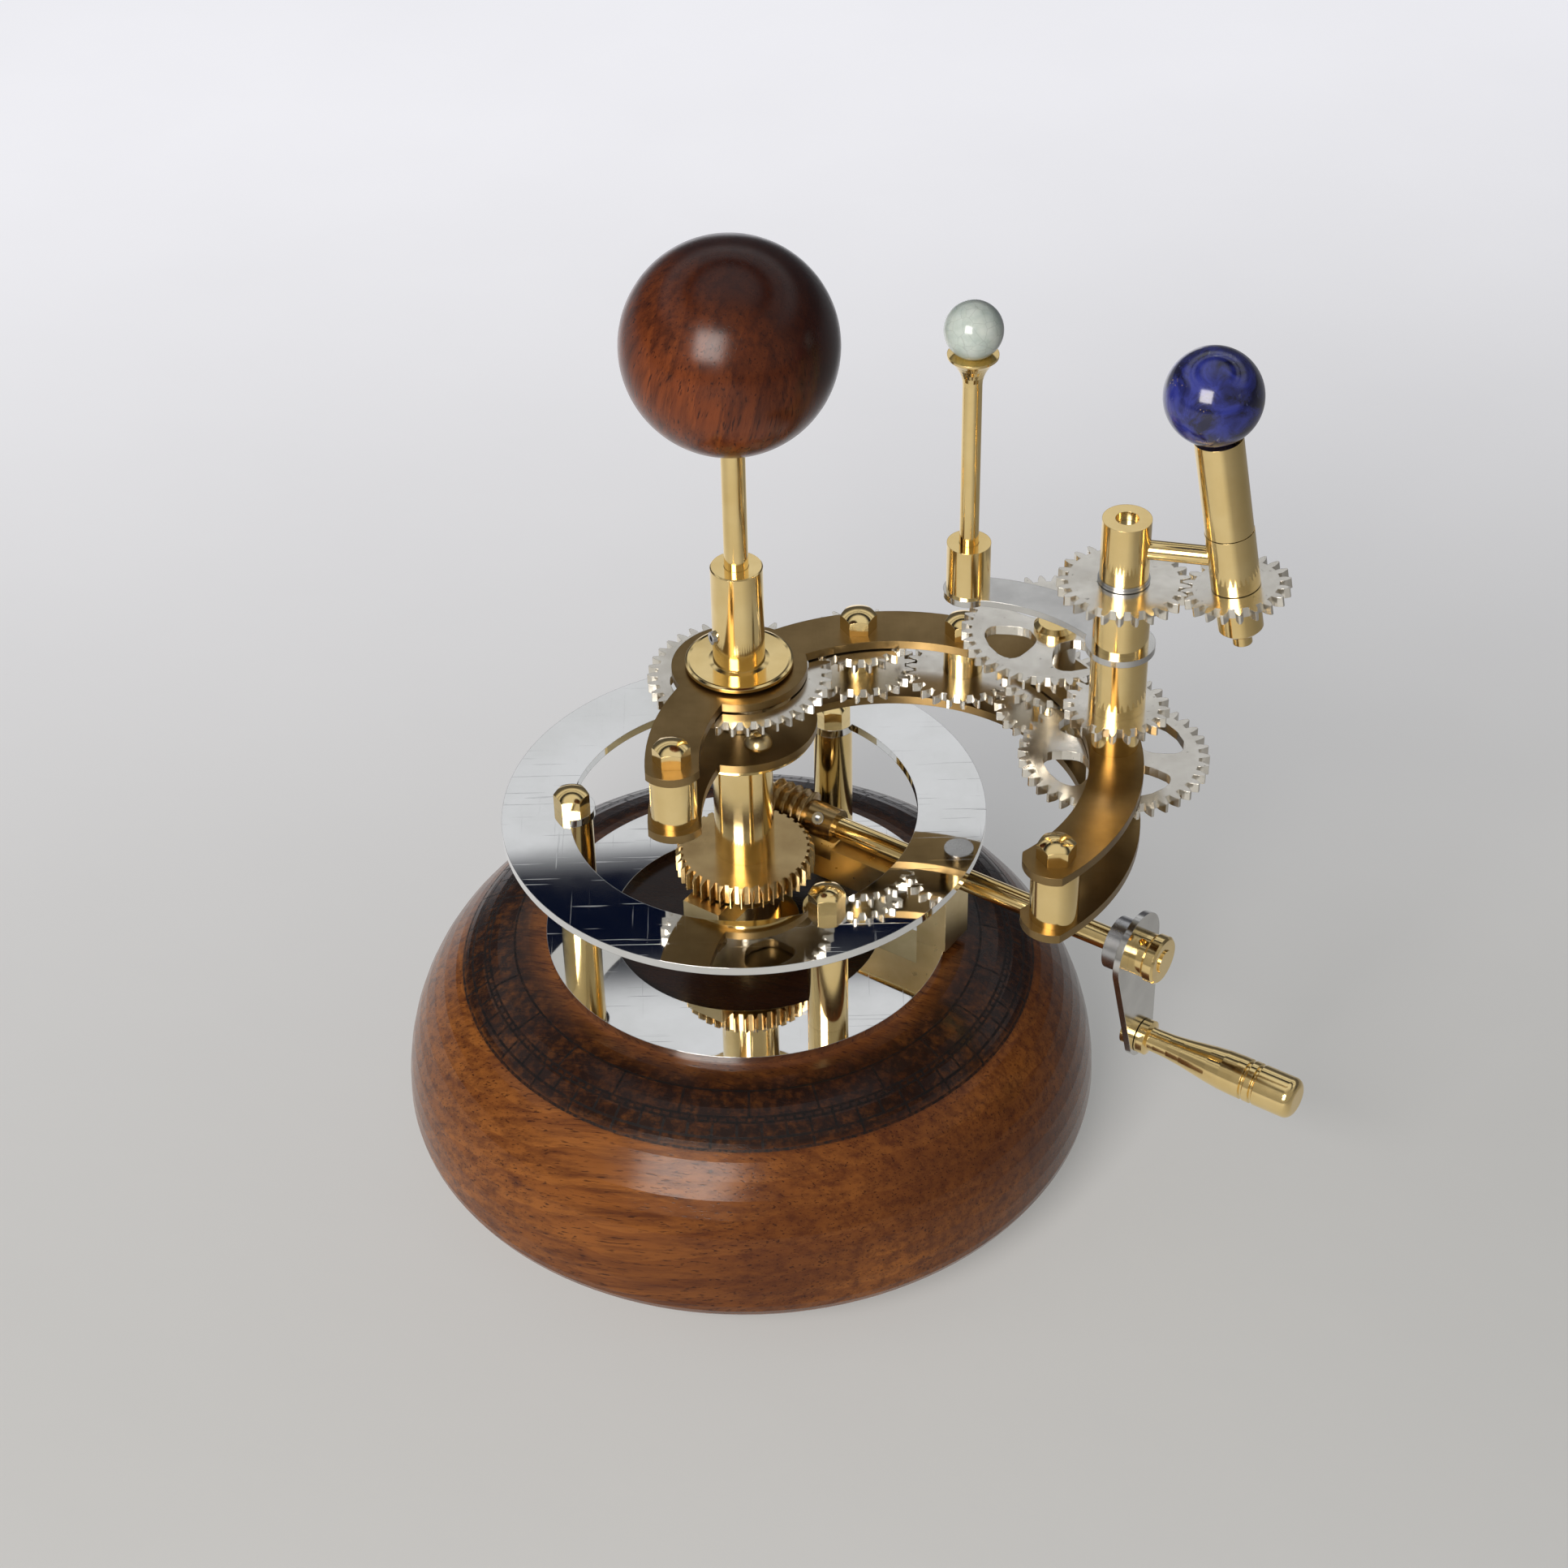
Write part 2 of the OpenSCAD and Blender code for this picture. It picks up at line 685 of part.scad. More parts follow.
module sun_ball() {
    color([0.40, 0.16, 0.09])
        difference() {
            translate([0, 0, sun_z])
                sphere(r = sun_r);
            translate([0, 0, sun_z - sun_r - 1])
                cylinder(r = sun_post_r + run_gap, h = sun_post_seat + 1);
        }
}

// Worm drive

module bearing_block(x, foot_z) {
    translate([x, -rail_w / 2, foot_z])
        cube([block_t, rail_w, block_top - foot_z]);
}

module worm_bracket() {
    step = worm_out_x + 1;
    leg = worm_offset - worm_tip_r - well_gap;
    color(bronze)
        difference() {
            union() {
                beside_shaft() {
                    bearing_block(-inner_block_x, base_h);
                    bearing_block(outer_block_in, stand_z);
                    translate([-inner_block_in, -rail_w / 2, rail_low_top - rail_h])
                        cube([inner_block_in + step, rail_w, rail_h]);
                    translate([step, -rail_w / 2, rail_low_top - rail_h])
                        cube([outer_block_in - step, rail_w, bridge_top - rail_low_top + rail_h]);
                }
                rotate([0, 0, worm_turn])
                    translate([-bridge_reach, -rail_w / 2, bridge_z])
                        cube([bridge_reach + leg, rail_w, rail_h]);
                rotate([0, 0, worm_turn])
                    translate([leg, -rail_w / 2, bridge_z])
                        cube([worm_offset - leg, rail_w, rail_low_top - bridge_z]);
            }
            on_shaft(-inner_block_x - 1)
                cylinder(r = shaft_r + run_gap, h = inner_block_x + outer_block_x + 2);
            translate([0, 0, bridge_z - 1])
                cylinder(r = arbor_r + run_gap, h = rail_h + 2);
        }
}

function thread_r(t) =
    let (u = abs(t) / 360 * worm_lead, half = (worm_lead / 2 - thread_slack) / 2)
    max(worm_root_r, min(worm_tip_r, worm_pitch_r + (half - u) / tan(pressure_angle)));

module worm() {
    start = -90 + 360 * worm_in_x / worm_lead;
    hub_in = 2.6;
    turns = worm_thread_len / worm_lead;
    step = 360 / thread_sides;
    color(brass)
        on_shaft()
            difference() {
                union() {
                    translate([0, 0, worm_in_x])
                        rotate([0, 0, start])
                            linear_extrude(worm_thread_len, twist = -360 * turns,
                                slices = thread_slices, $fn = thread_sides)
                                polygon([for (k = [0 : thread_sides - 1])
                                    polar(thread_r(k * step - 180), k * step - 180)]);
                    translate([0, 0, worm_in_x - hub_in])
                        cylinder(r = worm_hub_r, h = hub_in + worm_thread_len + worm_hub_len);
                }
                translate([0, 0, worm_in_x - hub_in - 1])
                    cylinder(r = shaft_r + run_gap, h = worm_thread_len + worm_hub_len + hub_in + 2);
                translate([0, 0, worm_thread_out + worm_hub_len / 2])
                    rotate([0, 90, 225])
                        cylinder(r = grub_r, h = worm_hub_r + 2);
            }
}

module worm_screw() {
    start = shaft_r + run_gap;
    color(steel)
        on_shaft(worm_thread_out + worm_hub_len / 2)
            rotate([0, 90, 225])
                translate([0, 0, start])
                    grub_screw(worm_hub_r - start + 0.1);
}

module worm_wheel() {
    tip = wheel_pitch_r + wheel_module;
    chamfer = 1.1;
    color(brass)
        difference() {
            union() {
                translate([0, 0, wheel_z])
                    intersection() {
                        linear_extrude(wheel_t)
                            polygon(gear_points(wheel_teeth, wheel_module, wheel_slack,
                                worm_turn + 180 / wheel_teeth));
                        union() {
                            cylinder(r = tip + 1, h = wheel_t - chamfer);
                            translate([0, 0, wheel_t - chamfer])
                                cylinder(r1 = tip, r2 = tip - chamfer, h = chamfer);
                        }
                    }
                translate([0, 0, wheel_z - wheel_hub_t])
                    cylinder(r = arbor_collar_r, h = wheel_hub_t);
            }
            translate([0, 0, wheel_z - 1])
                cylinder(r = arbor_r + run_gap, h = wheel_t + 2);
        }
}

module column_tube() {
    color(brass)
        difference() {
            union() {
                translate([0, 0, wheel_top])
                    cylinder(r = column_r, h = column_h);
                translate([0, 0, lower_arm_z - column_collar_h])
                    cylinder(r = column_collar_r, h = column_collar_h);
                translate([0, 0, lower_arm_z - column_flange_t])
                    cylinder(r = column_flange_r, h = column_flange_t);
            }
            translate([0, 0, wheel_top - 1])
                cylinder(r = arbor_r + run_gap, h = column_h + 2);
            on_plate_screws(lower_arm_z - column_flange_t - 1)
                cylinder(r = grub_r, h = column_flange_t + 2);
        }
}

// Arm

// What is cut off past an end post to round the plate's end
module end_cut(post, side, z) {
    at(on_arm(post), z - 1)
        rotate([0, 0, post + side])
            difference() {
                translate([-arm_w, 0, 0])
                    cube([2 * arm_w, 2 * arm_tip, arm_t + 2]);
                translate([0, 0, -1])
                    cylinder(r = arm_tip, h = arm_t + 4);
            }
}

module arm_plate(z, disc_r) {
    color(bronze)
        difference() {
            union() {
                at(polar(arm_r, arm_turn), z)
                    rotate([0, 0, right_post - tip_angle])
                        rotate_extrude(angle = left_post - right_post + 2 * tip_angle)
                            translate([arm_r - arm_w / 2, 0])
                                square([arm_w, arm_t]);
                translate([0, 0, z])
                    cylinder(r = disc_r, h = arm_t);
            }
            end_cut(left_post, 0, z);
            end_cut(right_post, 180, z);
            translate([0, 0, z - 1])
                cylinder(r = arbor_r + run_gap, h = arm_t + 2);
            for (p = stud_points)
                at(p, z - 1)
                    cylinder(r = stud_r + run_gap, h = arm_t + 2);
            at(idler_3, z - 1)
                cylinder(r = idler_arbor_r + run_gap, h = arm_t + 2);
            at(column, z - 1)
                cylinder(r = carrier_r + run_gap, h = arm_t + 2);
            children();
        }
}

module on_plate_screws(z) {
    for (k = [0 : 2])
        at(polar(plate_screw_circle_r, plate_screw_turn + 120 * k), z)
            children();
}

module lower_arm_plate() {
    arm_plate(lower_arm_z, lower_disc_r)
        on_plate_screws(lower_arm_z - 1)
            cylinder(r = grub_r, h = arm_t + 2);
}

module upper_arm_plate() {
    arm_plate(upper_arm_z, upper_disc_r);
}

module plate_screws() {
    dome = plate_screw_r + 0.2;
    shank = arm_t + column_flange_t;
    color(steel)
        on_plate_screws(lower_arm_top)
            difference() {
                union() {
                    intersection() {
                        cylinder(r = plate_screw_r, h = plate_screw_h);
                        translate([0, 0, plate_screw_h - dome])
                            sphere(r = dome);
                    }
                    translate([0, 0, -shank])
                        cylinder(r = grub_r - run_gap, h = shank);
                }
                translate([0, 0, plate_screw_h / 2])
                    cylinder(r = plate_screw_r / 3, h = plate_screw_h, $fn = 6);
            }
}

module arm_spacers() {
    color(brass)
        for (p = [left_end, right_end])
            at(p, lower_arm_top)
                tube(spacer_r, stud_r + run_gap, arm_gap);
}

module idler_bushes() {
    color(steel)
        for (p = [idler_1, idler_2])
            at(p, lower_arm_top)
                tube(bush_r, stud_r + run_gap, arm_gap);
}

module arm_studs() {
    head_h = 1.7;
    color(steel)
        for (p = stud_points) {
            at(p, lower_arm_z - head_h)
                cylinder(r = stud_r + 1.4, h = head_h);
            at(p, lower_arm_z - head_h)
                cylinder(r = stud_r, h = head_h + 2 * arm_t + arm_gap + nut_h / 2);
        }
}

module dome_nuts() {
    color(brass)
        for (p = stud_points)
            at(p, upper_arm_top)
                crown_nut(stud_r + run_gap);
}

module column_collar() {
    color(brass)
        at(column, upper_arm_top)
            tube(base_collar_r, carrier_r + run_gap, moon_drive_z - end_gap);
}

// Crank

module crank_shaft() {
    color(brass)
        on_shaft(-inner_block_x - 0.6)
            cylinder(r = shaft_r, h = inner_block_x + 0.6 + shaft_end_x);
}

module crank_collar() {
    step = 1;
    color(steel)
        on_shaft(lever_x - crank_collar_len)
            difference() {
                union() {
                    cylinder(r = crank_collar_r, h = crank_collar_len - step);
                    cylinder(r = crank_collar_r - 1.2, h = crank_collar_len);
                }
                translate([0, 0, -1])
                    cylinder(r = shaft_r + run_gap, h = crank_collar_len + 2);
            }
}

module lever_outline() {
    slope = asin((lever_hub_r - lever_tip_r) / crank_r);
    circle(lever_hub_r);
    translate([crank_r, 0])
        circle(lever_tip_r);
    polygon([for (s = [-1, 1], end = s > 0 ? [1, 0] : [0, 1])
        [crank_r * end, 0] + (end == 0 ? lever_hub_r : lever_tip_r) * [sin(slope), s * cos(slope)]]);
}

module crank_lever() {
    color(steel)
        on_shaft(lever_x)
            difference() {
                rotate([0, 0, crank_lean])
                    linear_extrude(lever_t)
                        lever_outline();
                translate([0, 0, -1])
                    cylinder(r = shaft_r + run_gap, h = lever_t + 2);
                rotate([0, 0, crank_lean])
                    translate([crank_r, 0, -1])
                        cylinder(r = bolt_r + run_gap, h = lever_t + 2);
            }
}

module crank_hub() {
    start = lever_x + lever_t;
    len = shaft_end_x - start - 0.4;
    groove = 0.5;
    color(brass)
        on_shaft(start)
            difference() {
                rotate_extrude()
                    polygon([[shaft_r + run_gap, 0], [crank_hub_r, 0], [crank_hub_r, len * 0.5],
                        [crank_hub_r - groove, len * 0.5], [crank_hub_r - groove, len * 0.6],
                        [crank_hub_r + groove, len * 0.6], [crank_hub_r + groove, len - groove],
                        [crank_hub_r, len], [shaft_r + run_gap, len]]);
                translate([0, 0, len * 0.25])
                    rotate([0, 90, 200])
                        cylinder(r = 0.8, h = crank_hub_r + 1);
            }
}

module handle_bolt() {
    color(steel)
        on_bolt(lever_x)
            difference() {
                union() {
                    cylinder(r = bolt_r, h = lever_t + end_gap + handle_len * 0.7);
                    translate([0, 0, -bolt_head_h])
                        cylinder(r = bolt_head_r, h = bolt_head_h);
                }
                translate([0, 0, -bolt_head_h - 1])
                    cylinder(r = bolt_head_r * 0.45, h = 2, $fn = 6);
            }
}

module crank_handle() {
    bore = bolt_r + run_gap;
    bore_len = handle_len * 0.7 + 0.5;
    thick = 0.68 * handle_len;
    groove = 0.45;
    round_r = 2;
    color(brass)
        on_bolt(lever_x + lever_t + end_gap)
            rotate_extrude()
                polygon(concat(
                    [[bore, 0], [handle_collar_r, 0], [handle_collar_r, 2], [handle_neck_r, 2.4],
                    [handle_neck_r, 4]],
                    [for (i = [1 : 6]) let (f = i / 6)
                        [handle_neck_r + (handle_r - handle_neck_r) * (1 - cos(180 * f)) / 2,
                        4 + (thick - 6) * f]],
                    [[handle_r, thick], [handle_r - groove, thick + 0.3],
                    [handle_r - groove, thick + 0.7], [handle_r, thick + 1],
                    [handle_r, thick + 2.4], [handle_r - groove, thick + 2.7],
                    [handle_r - groove, thick + 3.1], [handle_r, thick + 3.4]],
                    quarter(handle_r - round_r, handle_len - round_r, round_r, round_r, 0, 90),
                    [[0, handle_len], [0, bore_len], [bore, bore_len]]));
}

// Idlers

module idler_hub(p) {
    color(brass)
        at(p, lower_arm_top + end_gap)
            tube(idler_hub_r, bush_r + run_gap, arm_gap - 2 * end_gap);
}

module idler_gear(p, z, teeth, phase) {
    color(nickel)
        at(p, z)
            difference() {
                toothed_disc(teeth, phase);
                translate([0, 0, -1])
                    cylinder(r = idler_hub_r + run_gap, h = gear_t + 2);
            }
}

module idler_1_hub() {
    idler_hub(idler_1);
}

module idler_1_upper_gear() {
    idler_gear(idler_1, high_gear_z, small_teeth, idler_1_phase);
}

module idler_1_lower_gear() {
    idler_gear(idler_1, low_gear_z, low_teeth, 0);
}

module idler_2_hub() {
    idler_hub(idler_2);
}

module idler_2_gear() {
    idler_gear(idler_2, low_gear_z, low_teeth, idler_2_phase);
}

module idler_3_arbor() {
    color(steel)
        at(idler_3, arbor_bottom)
            cylinder(r = idler_arbor_r, h = pinion_top + 1 - arbor_bottom);
}

module idler_3_hub() {
    color(brass)
        at(idler_3, lower_arm_top + end_gap)
            tube(idler_hub_r, idler_arbor_r + run_gap, arm_gap - 2 * end_gap);
}

module idler_3_upper_gear() {
    idler_gear(idler_3, high_gear_z, small_teeth, 0);
}

module idler_3_lower_gear() {
    idler_gear(idler_3, low_gear_z, low_teeth, idler_3_phase);
}

module moon_drive_gear() {
    bore = idler_arbor_r + run_gap;
    hub = big_hub_r - 1;
    color(nickel)
        at(idler_3, moon_drive_bottom)
            spoked_gear(0, bore, hub, drive_window_turn);
    color(brass)
        at(idler_3, upper_arm_top + end_gap)
            tube(hub, bore, moon_drive_z - end_gap);
}

module moon_drive_nut() {
    wide = big_hub_r - 1;
    slope = 1;
    wall = 1.2;
    color(brass)
        at(idler_3, pinion_top)
            difference() {
                union() {
                    cylinder(r = wide, h = wall);
                    translate([0, 0, wall])
                        cylinder(r1 = wide, r2 = wide - slope, h = slope);
                }
                translate([0, 0, -1])
                    cylinder(r = idler_arbor_r + run_gap, h = wall + 1);
            }
}

// Carrier

module carrier_arbor() {
    color(steel)
        at(column, arbor_bottom)
            cylinder(r = carrier_r, h = carrier_top - arbor_bottom);
}

module carrier_gear() {
    bore = carrier_r + run_gap;
    color(nickel)
        union() {
            at(column, high_gear_z)
                spoked_gear(carrier_phase, bore, big_hub_r, window_turn);
            at(column, lower_arm_top + end_gap)
                tube(big_hub_r, bore, high_gear_z - lower_arm_top - end_gap);
        }
}

module top_washers() {
    step = 0.15;
    color(steel)
        at(column, drive_top + end_gap)
            for (k = [0, 1])
                translate([0, 0, k * washer_t])
                    tube(top_collar_r + step * (2 - k), carrier_r + run_gap, washer_t);
}

module rod_solid(gap) {
    in_x = carrier_r + 0.6;
    out_x = pinion_x - socket_rod_s * sin(earth_tilt) - spin_r - 0.9;
    at(column, rod_height)
        rotate([0, 0, earth_turn])
            translate([in_x, 0, 0])
                rotate([0, 90, 0])
                    cylinder(r = rod_r + gap, h = out_x - in_x);
}

module top_collar() {
    color(brass)
        difference() {
            at(column, top_collar_z)
                tube(top_collar_r, carrier_r + run_gap, top_collar_h);
            rod_solid(run_gap);
        }
}

module earth_rod() {
    color(brass)
        rod_solid(0);
}

module earth_socket() {
    color(brass)
        difference() {
            on_earth_axis(socket_z)
                tube(socket_r, spin_r + run_gap, socket_h);
            rod_solid(run_gap);
        }
}

// Moon train

module moon_pinion() {
    bore = carrier_r + run_gap;
    color(nickel)
        at(column, moon_drive_bottom)
            difference() {
                toothed_disc(small_teeth, moon_pinion_phase);
                translate([0, 0, -1])
                    cylinder(r = bore, h = gear_t + 2);
            }
}

module moon_low_sleeve() {
    color(brass)
        at(column, pinion_top)
            tube(low_sleeve_r, carrier_r + run_gap, low_sleeve_h);
}

module moon_arm() {
    start = moon_turn + 90;
    centre = polar(moon_arm_len / 2, moon_turn)
        + polar(moon_bow_r - moon_arm_bow, moon_turn + 90);
    color(steel)
        difference() {
            union() {
                at(column + centre, moon_arm_z)
                    rotate([0, 0, start + 180 - moon_bow_angle])
                        rotate_extrude(angle = 2 * moon_bow_angle)
                            translate([moon_bow_r - moon_arm_w / 2, 0])
                                square([moon_arm_w, moon_arm_t]);
                at(column, moon_arm_z)
                    cylinder(r = moon_eye_r, h = moon_arm_t);
                at(column + moon_point, moon_arm_z)
                    cylinder(r = moon_collar_r + 0.6, h = moon_arm_t);
            }
            at(column, moon_arm_z - 1)
                cylinder(r = carrier_r + run_gap, h = moon_arm_t + 2);
        }
}

module moon_up_sleeve() {
    color(brass)
        at(column, moon_arm_top)
            tube(up_sleeve_r, carrier_r + run_gap, up_sleeve_h);
}

module earth_drive_gear() {
    color(nickel)
        at(column, drive_z)
            difference() {
                toothed_disc(earth_drive_teeth, earth_turn);
                translate([0, 0, -1])
                    cylinder(r = carrier_r + run_gap, h = gear_t + 2);
            }
}

module moon_post_collar() {
    color(brass)
        at(column + moon_point, moon_arm_top)
            tube(moon_collar_r, moon_post_r + run_gap, moon_collar_h);
}

module moon_post() {
    cup_z = moon_cup_z - moon_cup_h;
    color(brass)
        at(column + moon_point, moon_arm_top)
            difference() {
                rotate_extrude()
                    polygon(concat([[0, 0], [moon_post_r, 0]],
                        [for (i = [0 : 6]) let (f = i / 6)
                            [moon_post_r + (moon_cup_r - moon_post_r) * pow(f, 2),
                            cup_z + (moon_cup_h - 0.5) * f]],
                        [[moon_cup_r, moon_cup_z], [0, moon_cup_z]]));
                translate([0, 0, moon_z - moon_arm_top])
                    sphere(r = moon_r + run_gap);
            }
}

module moon_ball() {
    color([0.80, 0.84, 0.80])
        at(column + moon_point, moon_z)
            sphere(r = moon_r);
}

// Earth

module earth_pinion() {
    color(nickel)
        on_earth_axis(-gear_t / 2)
            difference() {
                toothed_disc(earth_teeth, earth_phase);
                translate([0, 0, -1])
                    cylinder(r = spin_r + run_gap, h = gear_t + 2);
            }
}

module earth_shaft() {
    low = gear_t / 2 + boss_h + spin_tip;
    chamfer = 0.8;
    color(brass)
        union() {
            on_earth_axis(-low)
                cylinder(r = spin_r, h = low + spin_tube_z + 2 * spin_tube_h / 3);
            on_earth_axis(-gear_t / 2 - boss_h) {
                cylinder(r1 = boss_r - chamfer, r2 = boss_r, h = chamfer);
                translate([0, 0, chamfer])
                    cylinder(r = boss_r, h = boss_h - chamfer);
            }
        }
}

module earth_tube() {
    color(brass)
        difference() {
            on_earth_axis(spin_tube_z)
                cylinder(r = socket_r - 0.1, h = spin_tube_h);
            on_earth_axis(spin_tube_z - 1)
                cylinder(r = spin_r + run_gap, h = 2 * spin_tube_h / 3 + 1.2);
            on_earth_axis(earth_ball_z)
                sphere(r = earth_r + run_gap);
        }
}

module earth_ball() {
    color([0.12, 0.15, 0.42])
        on_earth_axis(earth_ball_z)
            sphere(r = earth_r);
}

wood_base();
lower_ring();
pillars();
upper_ring();
pillar_nuts();
central_arbor();
worm_bracket();
fixed_gear();
flanged_sleeve();
sleeve_screw();
sun_post();
sun_ball();
worm_wheel();
column_tube();
lower_arm_plate();
plate_screws();
arm_spacers();
idler_bushes();
arm_studs();
upper_arm_plate();
dome_nuts();
column_collar();
crank_shaft();
worm();
worm_screw();
crank_collar();
crank_lever();
crank_hub();
handle_bolt();
crank_handle();
idler_1_hub();
idler_1_upper_gear();
idler_1_lower_gear();
idler_2_hub();
idler_2_gear();
idler_3_arbor();
idler_3_hub();
idler_3_upper_gear();
idler_3_lower_gear();
moon_drive_gear();
moon_drive_nut();
carrier_arbor();
carrier_gear();
top_washers();
top_collar();
earth_rod();
earth_socket();
moon_pinion();
moon_low_sleeve();
moon_arm();
moon_up_sleeve();
earth_drive_gear();
moon_post_collar();
moon_post();
moon_ball();
earth_pinion();
earth_shaft();
earth_tube();
earth_ball();
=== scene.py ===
import math

import bpy
from mathutils import Matrix, Vector

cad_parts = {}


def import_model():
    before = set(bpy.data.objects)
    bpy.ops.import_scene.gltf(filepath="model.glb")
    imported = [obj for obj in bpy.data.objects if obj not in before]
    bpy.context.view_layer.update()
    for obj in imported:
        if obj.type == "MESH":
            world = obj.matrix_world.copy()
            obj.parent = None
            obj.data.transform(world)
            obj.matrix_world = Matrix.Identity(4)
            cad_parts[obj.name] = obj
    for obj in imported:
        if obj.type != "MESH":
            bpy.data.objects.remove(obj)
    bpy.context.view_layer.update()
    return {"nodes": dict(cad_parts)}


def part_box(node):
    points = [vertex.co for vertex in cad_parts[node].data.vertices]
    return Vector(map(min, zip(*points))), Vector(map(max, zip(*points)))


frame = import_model()
NODES = frame["nodes"]

# Camera, fitted to the photograph
CAMERA_AT = (0.0091, -0.56924, 0.54856)
LOOK_DOWN = 0.670
CAMERA_ROLL = -0.021367
LENS = 75.0
SENSOR = 36.0

# Burnt scale on the wooden base: radii in metres, and how many cells lie between two lines
SCALE_LINES = (0.0536, 0.0595, 0.0606, 0.0636, 0.0658)
SCALE_CELLS = (24, 180, 72, 36)
SCALE_LINE_W = 0.0005
SCALE_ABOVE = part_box("wood_base")[1].z * 0.55
SCORCH_FADE_IN = (0.0428, 0.0538)
SCORCH_FADE_OUT = (0.0668, 0.0648)
# the wood inside this radius, seen through the ring's hole, gets the same near-black tone as the
# scorch
INNER_DARK_RADIUS = 0.032
SCORCH_TONE = (0.011, 0.005, 0.004)
LINE_TONE = (0.003, 0.002, 0.002)

# Painted shade on the Sun, darkest on its top and right side: it deepens along the direction below
# from the given distance in metres on
SUN_HEIGHT = 0.2101
SUN_SHADE_WAY = (0.62, 0.15, 0.77)
SUN_SHADE_FROM = SUN_HEIGHT * SUN_SHADE_WAY[2]
SUN_SHADE_DEEP = 0.024
SUN_SHADE_TONE = (0.022, 0.005, 0.003)

# Floor: half its size, where its painted glow fades along Y (and a little against X), and the glow at
# both ends: painted light, darker near the front and lighter towards the back
FLOOR_HALF = 6.0
FLOOR_SKEW = -0.12
FLOOR_FADE = (-0.12, 0.60)
FLOOR_NEAR_GLOW = (0.245, 0.246, 0.234)
FLOOR_FAR_GLOW = (0.740, 0.742, 0.785)
FLOOR_CREASE_SHADE = (0.15, 0.15, 0.15)
MIRRORED_FLOOR = 1.35

# Room that metal mirrors
ROOM_PALE = (0.74, 0.75, 0.77)
ROOM_NAVY = (0.002, 0.004, 0.014)
ROOM_DUSK = (0.10, 0.10, 0.11)
ROOM_FRONT = (0.34, 0.33, 0.31)


# Node helpers

class Tree:
    """Builds a material's or the world's node tree with short calls."""

    def __init__(self, owner):
        owner.use_nodes = True
        self.tree = owner.node_tree
        self.tree.nodes.clear()

    def node(self, kind, **settings):
        made = self.tree.nodes.new(kind)
        for name, value in settings.items():
            setattr(made, name, value)
        return made

    def link(self, source, target):
        self.tree.links.new(source, target)

    def feed(self, socket, value):
        """Links value if it is a socket, and otherwise sets it."""
        if isinstance(value, bpy.types.NodeSocket):
            self.link(value, socket)
        elif value is not None:
            socket.default_value = value

    def math(self, operation, a, b=None, c=None):
        made = self.node("ShaderNodeMath", operation=operation)
        for socket, value in zip(made.inputs, (a, b, c)):
            self.feed(socket, value)
        return made.outputs[0]

    def mix(self, factor, a, b):
        """Fades from a to b, which are sockets, greys or colours."""
        made = self.node("ShaderNodeMix", data_type="RGBA")
        self.feed(made.inputs["Factor"], factor)
        for socket, value in zip(made.inputs[6:8], (a, b)):
            self.feed(socket, value if isinstance(value, bpy.types.NodeSocket) else rgba(value))
        return made.outputs[2]

    def ramp(self, factor, *stops):
        """stops are (position, grey or colour)."""
        made = self.node("ShaderNodeValToRGB")
        ramp = made.color_ramp
        while len(ramp.elements) < len(stops):
            ramp.elements.new(0.5)
        for element, (position, colour) in zip(ramp.elements, stops):
            element.position = position
            element.color = rgba(colour)
        self.link(factor, made.inputs["Fac"])
        return made.outputs["Color"]

    def place(self):
        """A point on the piece, in metres in its own frame."""
        return self.node("ShaderNodeTexCoord").outputs["Object"]

    def fade(self, value, start, end):
        """0 at start and 1 at end, with soft ends."""
        made = self.node("ShaderNodeMapRange", interpolation_type="SMOOTHSTEP")
        self.link(value, made.inputs["Value"])
        made.inputs["From Min"].default_value = start
        made.inputs["From Max"].default_value = end
        return made.outputs[0]

    def split(self, vector):
        made = self.node("ShaderNodeSeparateXYZ")
        self.link(vector, made.inputs[0])
        return made.outputs

    def seen_in_metal(self, rays):
        """1 for a ray that a shiny or clear piece sent out."""
        return self.math("MAXIMUM", rays.outputs["Is Glossy Ray"], rays.outputs["Is Transmission Ray"])

    def scaled(self, vector, scale=(1, 1, 1), turn=(0, 0, 0)):
        made = self.node("ShaderNodeMapping")
        self.link(vector, made.inputs["Vector"])
        made.inputs["Scale"].default_value = scale
        made.inputs["Rotation"].default_value = turn
        return made.outputs[0]

    def noise(self, vector, scale, detail=3.0, rough=0.55, warp=0.0):
        made = self.node("ShaderNodeTexNoise")
        self.link(vector, made.inputs["Vector"])
        made.inputs["Scale"].default_value = scale
        made.inputs["Detail"].default_value = detail
        made.inputs["Roughness"].default_value = rough
        made.inputs["Distortion"].default_value = warp
        return made.outputs["Fac"]

    def cells(self, vector, scale, feature="F1"):
        made = self.node("ShaderNodeTexVoronoi", feature=feature)
        self.link(vector, made.inputs["Vector"])
        made.inputs["Scale"].default_value = scale
        return made.outputs["Distance"]

    def bump(self, height, distance, strength=1.0, normal=None):
        made = self.node("ShaderNodeBump")
        made.inputs["Strength"].default_value = strength
        made.inputs["Distance"].default_value = distance
        self.link(height, made.inputs["Height"])
        self.feed(made.inputs["Normal"], normal)
        return made.outputs[0]

    def soft_edge(self, radius):
        made = self.node("ShaderNodeBevel", samples=4)
        made.inputs["Radius"].default_value = radius
        return made.outputs[0]

    def shader(self, **inputs):
        """The Principled shader, with its inputs named by their labels with _ for a space."""
        made = self.node("ShaderNodeBsdfPrincipled")
        for name, value in inputs.items():
            self.feed(made.inputs[name.replace("_", " ")], value)
        out = self.node("ShaderNodeOutputMaterial")
        self.link(made.outputs[0], out.inputs["Surface"])


def rgba(value):
    if isinstance(value, (int, float)):
        return (value, value, value, 1.0)
    return tuple(value)[:3] + (1.0,)


def new_tree(name):
    material = bpy.data.materials.new(name)
    return material, Tree(material)


# Metals

